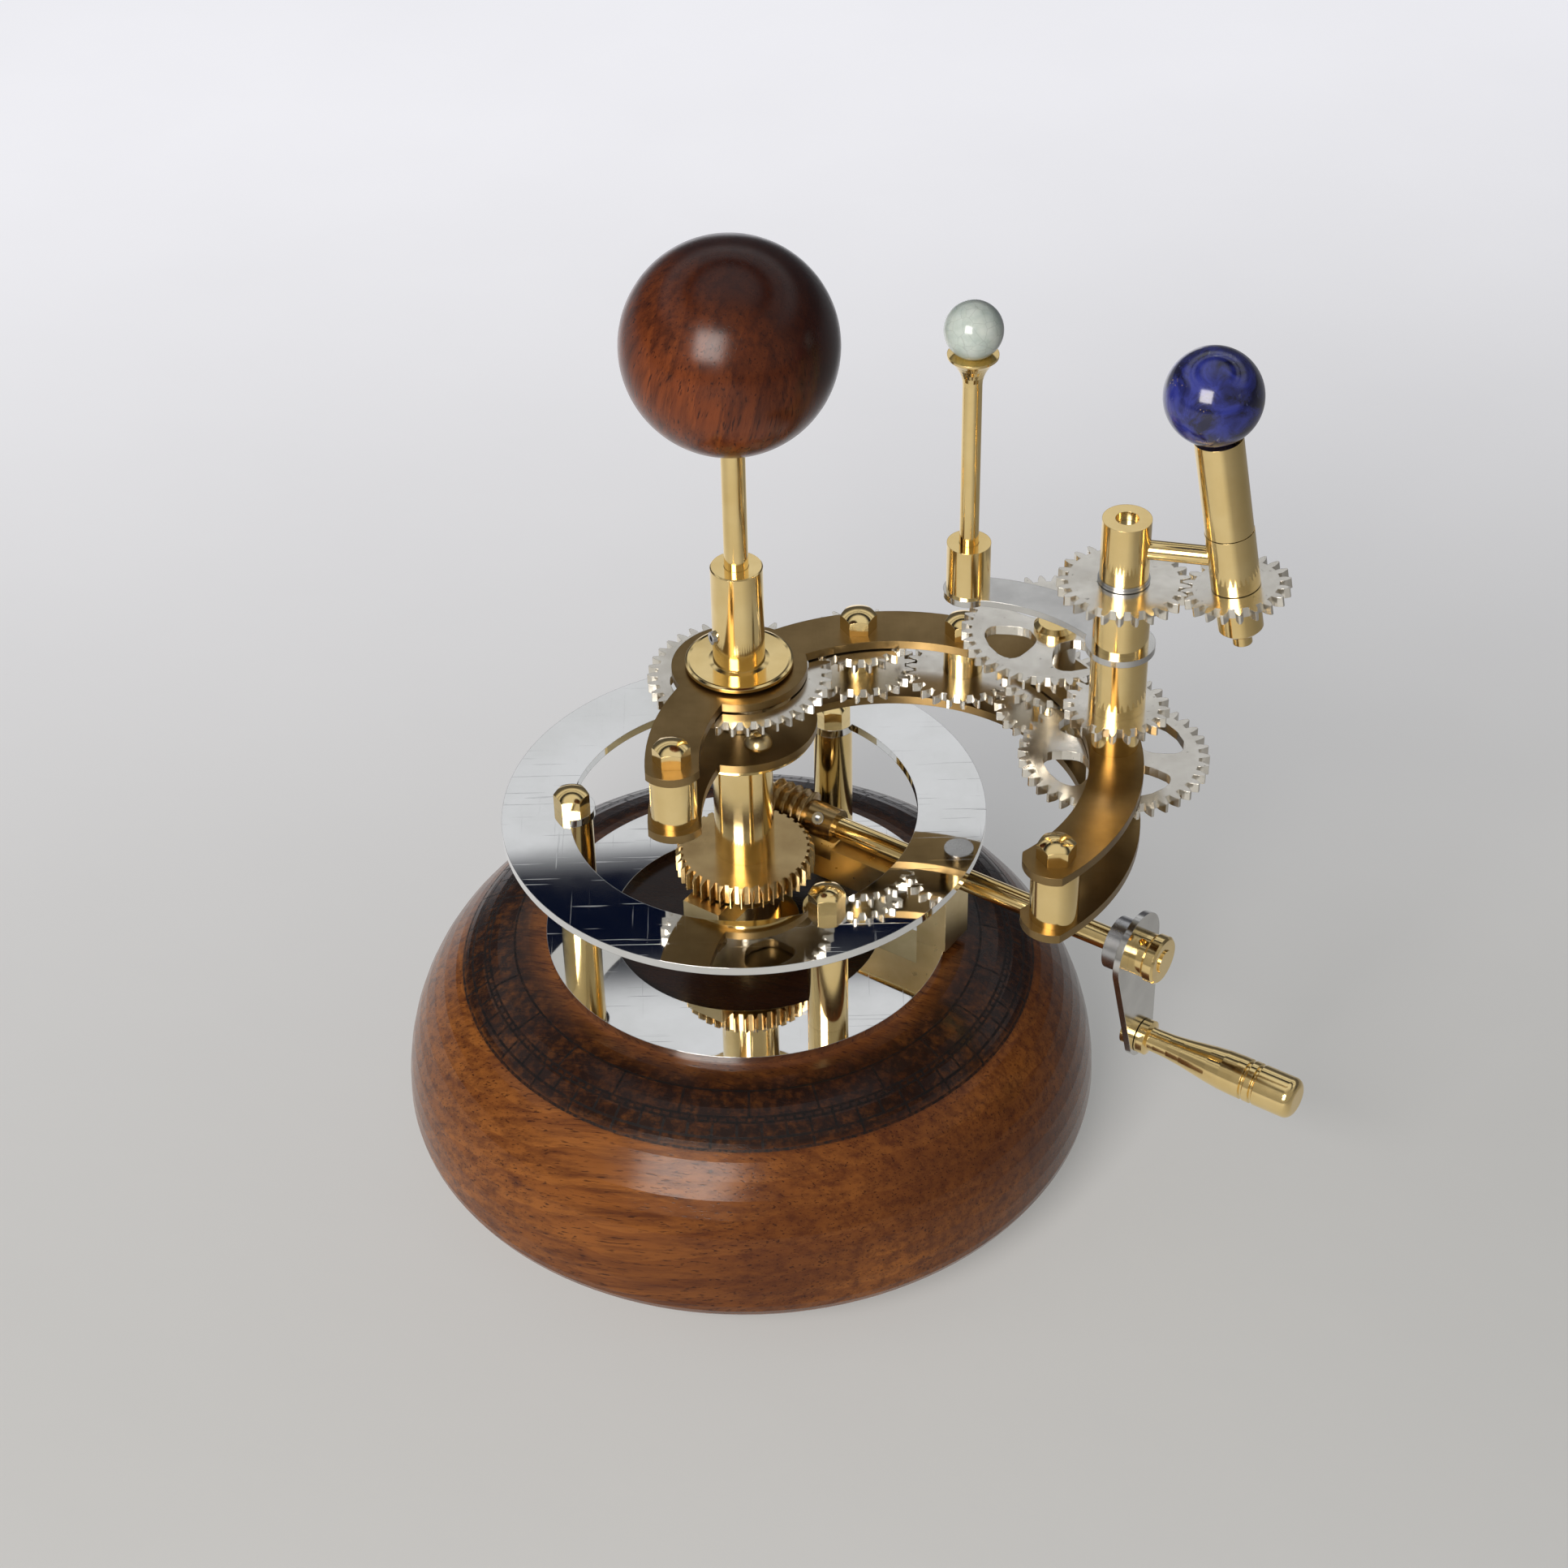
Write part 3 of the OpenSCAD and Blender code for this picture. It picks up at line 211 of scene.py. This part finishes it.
def metal(name, colour, dark, rough, rough_spread=0.08, turn_marks=0.0, pits=0.0,
          edge=0.00012, grain=None, anisotropy=0.0, relief=0.12):
    """Metal with tone variation, smudges, fine lathe or brush marks and soft bright edges."""
    material, t = new_tree(name)
    p = t.place()
    cloud = t.noise(p, 90.0, 4.0)
    smudge = t.noise(p, 320.0, 5.0, 0.6)
    tone = t.mix(t.ramp(cloud, (0.3, 0.0), (0.75, 1.0)), colour, dark)
    height = t.noise(p, 1500.0, 2.0)
    if turn_marks:
        rings = t.noise(t.scaled(p, (40, 40, 4200)), 1.0, 2.0)
        height = t.mix(turn_marks, height, rings)
        tone = t.mix(t.math("MULTIPLY", rings, 0.16), tone, dark)
    if grain:
        brush = t.noise(t.scaled(p, grain), 1.0, 3.0, 0.7)
        height = t.mix(0.7, height, brush)
        tone = t.mix(t.math("MULTIPLY", brush, 0.3), tone, dark)
    if pits:
        grit = t.noise(p, 1300.0, 3.0, 0.6)
        pit = t.ramp(grit, (0.66, 0.0), (0.72, 1.0))
        tone = t.mix(t.math("MULTIPLY", pit, pits), tone, [c * 0.3 for c in dark])
    roughness = t.math("MULTIPLY_ADD", smudge, rough_spread * 2, rough - rough_spread)
    t.shader(
        Base_Color=tone, Metallic=1.0, Roughness=roughness, Anisotropic=anisotropy,
        Normal=t.bump(height, 0.00001, relief, t.soft_edge(edge)))
    return material


def mirror_steel():
    """Polished sheet steel with haze and long faint scratches both ways."""
    material, t = new_tree("mirror_steel")
    p = t.place()
    haze = t.noise(p, 45.0, 5.0, 0.6)
    scratch_a = t.noise(t.scaled(p, (30, 1600, 30), (0, 0, 0.5)), 1.0, 2.0)
    scratch_b = t.noise(t.scaled(p, (1600, 30, 30), (0, 0, 0.2)), 1.0, 2.0)
    scratch = t.math("MAXIMUM", scratch_a, scratch_b)
    marks = t.ramp(scratch, (0.66, 0.0), (0.72, 1.0))
    tone = t.mix(t.ramp(haze, (0.35, 0.0), (0.7, 1.0)), (0.83, 0.83, 0.82), (0.74, 0.74, 0.72))
    rough = t.math("MULTIPLY_ADD", haze, 0.06, 0.0)
    rough = t.math("MULTIPLY_ADD", marks, 0.08, rough)
    t.shader(
        Base_Color=tone, Metallic=1.0, Roughness=rough,
        Normal=t.bump(marks, 0.000004, 0.3, t.soft_edge(0.00015)))
    return material


# Woods

def wood_grain(t, p, light, mid, dark, ring_scale, turn):
    """Long flowing grain with pores: returns (colour, height)."""
    bent = t.scaled(p, turn=turn)
    sway = t.noise(t.scaled(bent, (6, 25, 25)), 1.0, 3.0)
    wave = t.node("ShaderNodeTexWave", wave_type="BANDS", bands_direction="Z", wave_profile="SAW")
    t.link(bent, wave.inputs["Vector"])
    wave.inputs["Scale"].default_value = ring_scale
    wave.inputs["Distortion"].default_value = 5.0
    wave.inputs["Detail"].default_value = 3.0
    wave.inputs["Detail Scale"].default_value = 0.8
    fibre = t.noise(t.scaled(bent, (30, 520, 520)), 1.0, 5.0, 0.7)
    pores = t.noise(t.scaled(bent, (220, 2300, 2300)), 1.0, 2.0, 0.5)
    pore = t.ramp(pores, (0.60, 0.0), (0.68, 1.0))
    tone = t.mix(t.math("MULTIPLY", wave.outputs["Fac"], 0.7), light, mid)
    tone = t.mix(t.ramp(sway, (0.35, 0.0), (0.7, 0.8)), tone, dark)
    tone = t.mix(t.ramp(fibre, (0.42, 0.0), (0.66, 0.8)), tone, dark)
    tone = t.mix(t.math("MULTIPLY", pore, 0.75), tone, [c * 0.35 for c in dark])
    height = t.mix(0.7, fibre, t.math("SUBTRACT", 1.0, pore))
    return tone, height


def cell_lines(t, angle, radius, count, low, high, shift):
    """1 on the dividing lines of a ring of cells between two radii."""
    turns = t.math("MULTIPLY_ADD", angle, count / (2 * math.pi), shift)
    from_middle = t.math("ABSOLUTE", t.math("SUBTRACT", t.math("FRACT", turns), 0.5))
    from_line = t.math("SUBTRACT", 0.5, from_middle)
    half_width = t.math("DIVIDE", SCALE_LINE_W * count / (2 * math.pi) * 0.6, radius)
    line = t.math("LESS_THAN", from_line, half_width)
    inside = t.math("MULTIPLY", t.math("GREATER_THAN", radius, low), t.math("LESS_THAN", radius, high))
    return t.math("MULTIPLY", line, inside)


def scale_marks(t, angle, radius):
    """1 on the ring lines and on the dividing lines of the burnt scale."""
    marks = 0.0
    for at in SCALE_LINES:
        off = t.math("ABSOLUTE", t.math("SUBTRACT", radius, at))
        marks = t.math("MAXIMUM", marks, t.math("LESS_THAN", off, SCALE_LINE_W / 2))
    for k, count in enumerate(SCALE_CELLS):
        cells = cell_lines(t, angle, radius, count, SCALE_LINES[k], SCALE_LINES[k + 1], 0.25 * k)
        marks = t.math("MAXIMUM", marks, cells)
    return marks


def base_wood():
    """Varnished mahogany-like wood with a burnt ring of plain divisions round the plate."""
    material, t = new_tree("base_wood")
    p = t.place()
    tone, height = wood_grain(
        t, p, (0.36, 0.125, 0.024), (0.24, 0.074, 0.014), (0.072, 0.018, 0.006), 48.0,
        (0.22, 0.1, 0.35))
    x, y, z = t.split(p)
    radius = t.math("SQRT", t.math("ADD", t.math("MULTIPLY", x, x), t.math("MULTIPLY", y, y)))
    angle = t.math("ARCTAN2", y, x)
    top = t.math("GREATER_THAN", z, SCALE_ABOVE)
    ragged = t.ramp(t.noise(p, 900.0, 3.0), (0.3, 0.35), (0.6, 1.0))
    marks = t.math("MULTIPLY", scale_marks(t, angle, radius), ragged)
    scorch = t.noise(p, 420.0, 4.0, 0.65)
    scorch_and_inner = t.ramp(scorch, (0.30, 0.62), (0.56, 1.0))
    for start, end in (SCORCH_FADE_OUT, SCORCH_FADE_IN):
        scorch_and_inner = t.math("MULTIPLY", scorch_and_inner, t.fade(radius, start, end))
    # inside the ring's hole the wood is darkened to the scorch tone as well
    inside = t.math("LESS_THAN", radius, INNER_DARK_RADIUS)
    scorch_and_inner = t.math("MULTIPLY", t.math("MAXIMUM", scorch_and_inner, inside), top)
    marks = t.math("MULTIPLY", marks, top)
    tone = t.mix(t.math("MULTIPLY", scorch_and_inner, 0.96), tone, SCORCH_TONE)
    tone = t.mix(t.math("MULTIPLY", marks, 0.95), tone, LINE_TONE)
    rough = t.math("MULTIPLY_ADD", t.noise(p, 240.0, 4.0), 0.12, 0.16)
    rough = t.math("MULTIPLY_ADD", marks, 0.25, rough)
    depth = t.math("SUBTRACT", height, t.math("MULTIPLY", marks, 1.5))
    t.shader(
        Base_Color=tone, Roughness=rough, Specular_IOR_Level=0.24,
        Normal=t.bump(depth, 0.00006, 0.20))
    return material


def sun_wood():
    """Dark polished rosewood-like ball, with painted shade that makes its top and right side nearly
    black.
    """
    material, t = new_tree("sun_wood")
    p = t.place()
    tone, height = wood_grain(
        t, p, (0.25, 0.058, 0.012), (0.15, 0.032, 0.008), (0.045, 0.010, 0.004), 55.0,
        (0.4, 1.35, 0.6))
    lean = t.node("ShaderNodeVectorMath", operation="DOT_PRODUCT")
    t.link(p, lean.inputs[0])
    lean.inputs[1].default_value = SUN_SHADE_WAY
    shade_reach = t.math("MULTIPLY_ADD", t.noise(p, 60.0, 3.0), 0.020, lean.outputs["Value"])
    depth = t.ramp(t.math("SUBTRACT", shade_reach, SUN_SHADE_FROM), (0.0, 0.0), (SUN_SHADE_DEEP, 0.90))
    # painted shade: the ball turns nearly black towards its top and right side
    tone = t.mix(depth, tone, SUN_SHADE_TONE)
    rough = t.math("MULTIPLY_ADD", t.noise(p, 300.0, 4.0), 0.14, 0.16)
    t.shader(
        Base_Color=tone, Roughness=rough, Specular_IOR_Level=0.30,
        Normal=t.bump(height, 0.00004, 0.25))
    return material


# Stones

def earth_stone():
    """Deep blue polished stone with dark clouds, pale veins, gold specks and warm spots."""
    material, t = new_tree("earth_stone")
    p = t.place()
    cloud = t.noise(p, 190.0, 6.0, 0.65, 0.6)
    tone = t.mix(t.ramp(cloud, (0.40, 0.0), (0.60, 1.0)), (0.006, 0.006, 0.036), (0.032, 0.042, 0.270))
    vein = t.noise(p, 260.0, 8.0, 0.7, 1.5)
    pale = t.ramp(vein, (0.60, 0.0), (0.70, 1.0))
    tone = t.mix(t.math("MULTIPLY", pale, 0.45), tone, (0.30, 0.34, 0.52))
    specks = t.cells(p, 1500.0)
    gate = t.ramp(t.noise(p, 150.0, 2.0), (0.60, 0.0), (0.66, 1.0))
    gold = t.math("MULTIPLY", t.math("LESS_THAN", specks, 0.20), gate)
    tone = t.mix(gold, tone, (0.62, 0.44, 0.16))
    warm = t.ramp(t.noise(p, 95.0, 3.0), (0.70, 0.0), (0.76, 1.0))
    tone = t.mix(t.math("MULTIPLY", warm, 0.6), tone, (0.22, 0.08, 0.06))
    t.shader(
        Base_Color=tone, Roughness=t.math("MULTIPLY_ADD", cloud, 0.12, 0.10),
        Coat_Weight=0.4, Coat_Roughness=0.06, Normal=t.bump(vein, 0.00002, 0.25))
    return material


def moon_stone():
    """Pale green-white stone with cloudy patches and fine crackle."""
    material, t = new_tree("moon_stone")
    p = t.place()
    cloud = t.noise(p, 240.0, 5.0, 0.6)
    tone = t.mix(t.ramp(cloud, (0.3, 0.0), (0.7, 1.0)), (0.70, 0.76, 0.70), (0.46, 0.55, 0.50))
    edges = t.cells(p, 420.0, "DISTANCE_TO_EDGE")
    crack = t.ramp(edges, (0.0, 1.0), (0.035, 0.0))
    tone = t.mix(t.math("MULTIPLY", crack, 0.4), tone, (0.32, 0.36, 0.32))
    t.shader(
        Base_Color=tone, Roughness=t.math("MULTIPLY_ADD", cloud, 0.12, 0.14),
        Subsurface_Weight=0.15, Subsurface_Radius=(0.002, 0.002, 0.0015), Subsurface_Scale=0.5,
        Coat_Weight=0.5, Coat_Roughness=0.07, Normal=t.bump(edges, 0.00002, 0.2))
    return material


# Materials on the CAD nodes

def dress(names, material):
    for name in names:
        slots = NODES[name].data.materials
        slots.clear()
        slots.append(material)


BRASS_LIGHT = (0.93, 0.72, 0.35)
BRASS_DARK = (0.80, 0.58, 0.24)

polished_brass = metal("polished_brass", BRASS_LIGHT, BRASS_DARK, 0.13, 0.05, turn_marks=0.6)
# darker brass for the worm and worm wheel: painted shade, as both sit in shadow
shaded_brass = metal("shaded_brass", (0.58, 0.42, 0.20), (0.34, 0.22, 0.09), 0.24, 0.08)
brushed_bronze = metal(
    "brushed_bronze", (0.32, 0.215, 0.092), (0.19, 0.122, 0.046), 0.32, 0.08, grain=(2600, 60, 60),
    anisotropy=0.4, relief=0.3)
satin_brass = metal("satin_brass", (0.76, 0.62, 0.36), (0.56, 0.43, 0.21), 0.30, 0.08, relief=0.2)
nickel = metal("nickel", (0.90, 0.86, 0.78), (0.66, 0.62, 0.54), 0.22, 0.08, pits=0.9, relief=0.10)
satin_steel = metal("satin_steel", (0.62, 0.62, 0.62), (0.42, 0.42, 0.42), 0.26, 0.08, pits=0.3)
bright_steel = metal("bright_steel", (0.70, 0.69, 0.66), (0.52, 0.51, 0.49), 0.18, 0.06, relief=0.08)

dress(["wood_base"], base_wood())
dress(["sun_ball"], sun_wood())
dress(["earth_ball"], earth_stone())
dress(["moon_ball"], moon_stone())
dress(["lower_ring", "upper_ring"], mirror_steel())
dress(["lower_arm_plate", "upper_arm_plate"], brushed_bronze)
dress(["worm_bracket", "plate_screws"], satin_brass)
dress(["fixed_gear", "idler_1_upper_gear", "idler_1_lower_gear", "idler_2_gear",
       "idler_3_upper_gear", "idler_3_lower_gear", "moon_drive_gear", "carrier_gear",
       "moon_pinion", "earth_drive_gear", "earth_pinion"], nickel)
dress(["sleeve_screw", "idler_bushes", "arm_studs", "worm_screw", "crank_collar",
       "idler_3_arbor", "carrier_arbor", "top_washers"], satin_steel)
dress(["moon_arm", "crank_lever"], bright_steel)
dress(["worm_wheel", "worm"], shaded_brass)
dress(["pillars", "pillar_nuts", "central_arbor", "flanged_sleeve", "sun_post", "column_tube",
       "arm_spacers", "dome_nuts", "column_collar", "crank_shaft", "crank_hub", "crank_handle",
       "handle_bolt", "idler_1_hub", "idler_2_hub", "idler_3_hub", "moon_drive_nut", "top_collar",
       "earth_rod", "earth_socket", "moon_low_sleeve", "moon_up_sleeve", "moon_post_collar",
       "moon_post", "earth_shaft", "earth_tube"], polished_brass)


# Floor, lights and world

def floor():
    """A pale sheet, lighter towards the back, whose glow only the camera and metal see."""
    mesh = bpy.data.meshes.new("floor")
    signs = ((-1, -1), (1, -1), (1, 1), (-1, 1))
    corners = [(FLOOR_HALF * x, FLOOR_HALF * y, 0) for x, y in signs]
    mesh.from_pydata(corners, [], [(0, 1, 2, 3)])
    made = bpy.data.objects.new("floor", mesh)
    bpy.context.scene.collection.objects.link(made)
    material, t = new_tree("backdrop_sheet")
    p = t.place()
    x, y, _ = t.split(p)
    far = t.fade(t.math("MULTIPLY_ADD", x, FLOOR_SKEW, y), *FLOOR_FADE)
    creases = t.noise(p, 9.0, 4.0, 0.5)
    # painted light: the floor's glow is darker near the front and right, lighter towards the back and
    # left
    glow = t.mix(far, FLOOR_NEAR_GLOW, FLOOR_FAR_GLOW)
    # painted shade: the glow is darkened a little along the sheet's creases
    glow = t.mix(t.math("MULTIPLY", creases, 0.10), glow, FLOOR_CREASE_SHADE)
    rays = t.node("ShaderNodeLightPath")
    # painted shade in reflections: the floor that metal mirrors is dimmed to the right and at the far
    # left
    across = t.math("ADD", x, 0.5)
    mirror_shade = t.ramp(across, (0.05, 0.35), (0.30, 1.0), (0.58, 1.0), (0.74, 0.15))
    mirror_shade = t.math("MULTIPLY", mirror_shade, MIRRORED_FLOOR)
    mirrored = t.math("MULTIPLY", t.seen_in_metal(rays), mirror_shade)
    seen = t.math("MAXIMUM", rays.outputs["Is Camera Ray"], mirrored)
    t.shader(
        Base_Color=(0.45, 0.45, 0.45, 1), Roughness=0.85, Specular_IOR_Level=0.1,
        Emission_Color=glow, Emission_Strength=seen, Normal=t.bump(creases, 0.004, 0.2))
    made.data.materials.append(material)


def area_light(name, place, target, size, power, colour, mirrored=True):
    """A square lamp that faces target and shows in metal where it is mirrored."""
    data = bpy.data.lights.new(name, "AREA")
    data.shape = "SQUARE"
    data.size = size
    data.energy = power
    data.color = colour
    lamp = bpy.data.objects.new(name, data)
    bpy.context.scene.collection.objects.link(lamp)
    lamp.location = place
    lamp.visible_glossy = mirrored
    direction = Vector(target) - Vector(place)
    lamp.rotation_euler = direction.to_track_quat("-Z", "Y").to_euler()


def background(t, colour, strength):
    made = t.node("ShaderNodeBackground")
    t.feed(made.inputs["Color"], colour)
    made.inputs["Strength"].default_value = strength
    return made.outputs[0]


def either(t, factor, first, second):
    """The first shader where factor is 0, the second where it is 1."""
    made = t.node("ShaderNodeMixShader")
    for socket, source in zip(made.inputs, (factor, first, second)):
        t.link(source, socket)
    return made.outputs[0]


def world():
    """Weak even light, a pale backdrop for the camera and a banded room for metal to mirror."""
    made = bpy.data.worlds.new("studio")
    bpy.context.scene.world = made
    t = Tree(made)
    _, y, z = t.split(t.node("ShaderNodeTexCoord").outputs["Generated"])
    back = t.ramp(
        z, (0.40, ROOM_DUSK), (0.52, ROOM_PALE), (0.633, ROOM_PALE), (0.638, ROOM_NAVY),
        (0.663, ROOM_NAVY), (0.669, ROOM_PALE), (0.73, ROOM_PALE), (0.77, ROOM_NAVY),
        (0.84, ROOM_NAVY), (0.90, ROOM_PALE))
    room = t.mix(t.fade(y, 0.05, -0.55), back, ROOM_FRONT)
    rays = t.node("ShaderNodeLightPath")
    seen = background(t, (0.80, 0.83, 0.88, 1), 0.12)
    seen = either(t, t.seen_in_metal(rays), seen, background(t, room, 1.0))
    seen = either(t, rays.outputs["Is Camera Ray"], seen, background(t, (0.82, 0.83, 0.85, 1), 1.0))
    out = t.node("ShaderNodeOutputWorld")
    t.link(seen, out.inputs["Surface"])


def camera():
    data = bpy.data.cameras.new("camera")
    data.lens = LENS
    data.sensor_width = SENSOR
    data.clip_start, data.clip_end = 0.01, 50
    made = bpy.data.objects.new("camera", data)
    bpy.context.scene.collection.objects.link(made)
    level = Vector((1, 0, 0))
    rise = Vector((0, math.sin(LOOK_DOWN), math.cos(LOOK_DOWN)))
    forward = Vector((0, math.cos(LOOK_DOWN), -math.sin(LOOK_DOWN)))
    right = math.cos(CAMERA_ROLL) * level + math.sin(CAMERA_ROLL) * rise
    up = -math.sin(CAMERA_ROLL) * level + math.cos(CAMERA_ROLL) * rise
    turn = Matrix((right, up, -forward)).transposed().to_4x4()
    made.matrix_world = Matrix.Translation(CAMERA_AT) @ turn
    bpy.context.scene.camera = made


floor()
area_light("window", (-0.42, -1.00, 0.80), (0.0, 0.0, 0.10), 0.62, 14.0, (1.0, 0.95, 0.91))
area_light("side", (-1.15, -0.35, 0.55), (0.0, 0.0, 0.12), 0.9, 2.0, (1.0, 0.98, 0.96), False)
world()
camera()
bpy.context.scene.view_settings.view_transform = "Standard"
